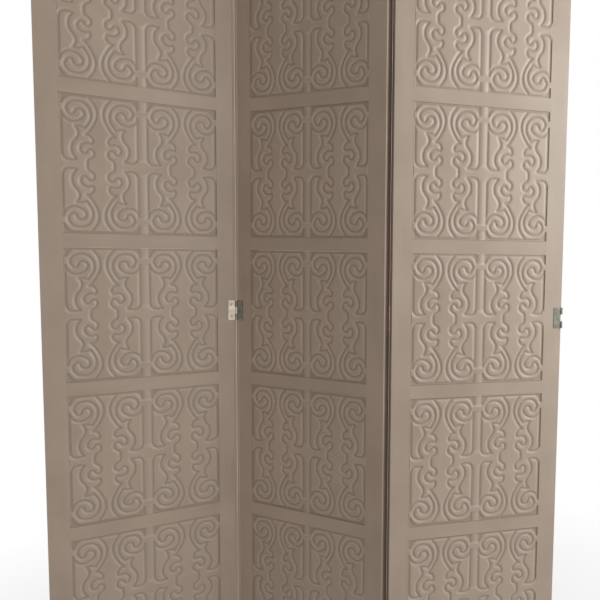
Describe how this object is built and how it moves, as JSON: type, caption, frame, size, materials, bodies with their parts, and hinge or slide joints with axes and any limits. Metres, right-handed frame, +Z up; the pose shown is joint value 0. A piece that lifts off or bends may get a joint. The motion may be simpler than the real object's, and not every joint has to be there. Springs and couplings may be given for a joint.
{
  "type": "folding screen",
  "caption": "Free-standing folding room screen: carved scrollwork boards in painted wood frames, joined by fixed-pin butt hinges so the leaves fold flat.",
  "frame": {"origin": "bottom centre of the standing screen's box, on the floor", "axes": "+X to the right along the screen, +Y to the back, +Z up; the carved fronts face -Y"},
  "size_m": [1.2128, 0.251, 1.83],
  "materials": {
    "frame_paint": "satin taupe paint",
    "carved_board_paint": "satin taupe paint, darker in the carving",
    "hinge_brass": "dull worn brass"
  },
  "bodies": {
    "middle_leaf": {"middle_leaf_left_stile": "frame_paint", "middle_leaf_right_stile": "frame_paint", "middle_leaf_bottom_rail": "frame_paint", "middle_leaf_top_rail": "frame_paint", "middle_leaf_cross_rail_1": "frame_paint", "middle_leaf_cross_rail_2": "frame_paint", "middle_leaf_cross_rail_3": "frame_paint", "middle_leaf_cross_rail_4": "frame_paint", "middle_leaf_carved_board_1": "carved_board_paint", "middle_leaf_carved_board_2": "carved_board_paint", "middle_leaf_carved_board_3": "carved_board_paint", "middle_leaf_carved_board_4": "carved_board_paint", "middle_leaf_carved_board_5": "carved_board_paint", "left_fold_hinge_leaves_middle": "hinge_brass", "right_fold_hinge_leaves_middle": "hinge_brass"},
    "left_leaf": {"left_leaf_left_stile": "frame_paint", "left_leaf_right_stile": "frame_paint", "left_leaf_bottom_rail": "frame_paint", "left_leaf_top_rail": "frame_paint", "left_leaf_cross_rail_1": "frame_paint", "left_leaf_cross_rail_2": "frame_paint", "left_leaf_cross_rail_3": "frame_paint", "left_leaf_cross_rail_4": "frame_paint", "left_leaf_carved_board_1": "carved_board_paint", "left_leaf_carved_board_2": "carved_board_paint", "left_leaf_carved_board_3": "carved_board_paint", "left_leaf_carved_board_4": "carved_board_paint", "left_leaf_carved_board_5": "carved_board_paint", "left_fold_hinge_leaves_left": "hinge_brass"},
    "right_leaf": {"right_leaf_left_stile": "frame_paint", "right_leaf_right_stile": "frame_paint", "right_leaf_bottom_rail": "frame_paint", "right_leaf_top_rail": "frame_paint", "right_leaf_cross_rail_1": "frame_paint", "right_leaf_cross_rail_2": "frame_paint", "right_leaf_cross_rail_3": "frame_paint", "right_leaf_cross_rail_4": "frame_paint", "right_leaf_carved_board_1": "carved_board_paint", "right_leaf_carved_board_2": "carved_board_paint", "right_leaf_carved_board_3": "carved_board_paint", "right_leaf_carved_board_4": "carved_board_paint", "right_leaf_carved_board_5": "carved_board_paint", "right_fold_hinge_leaves_right": "hinge_brass", "free_edge_hinge_leaves": "hinge_brass"}
  },
  "joints": [
    {"name": "left_fold", "type": "hinge", "parent": "middle_leaf", "child": "left_leaf", "pos_m": [-0.22755, 0.10098, 0.915], "axis": [0, 0, 1], "range_deg": [-53.5, 126.5]},
    {"name": "right_fold", "type": "hinge", "parent": "middle_leaf", "child": "right_leaf", "pos_m": [0.18342, -0.0306, 0.915], "axis": [0, 0, 1], "range_deg": [-38.5, 141.5]}
  ]
}
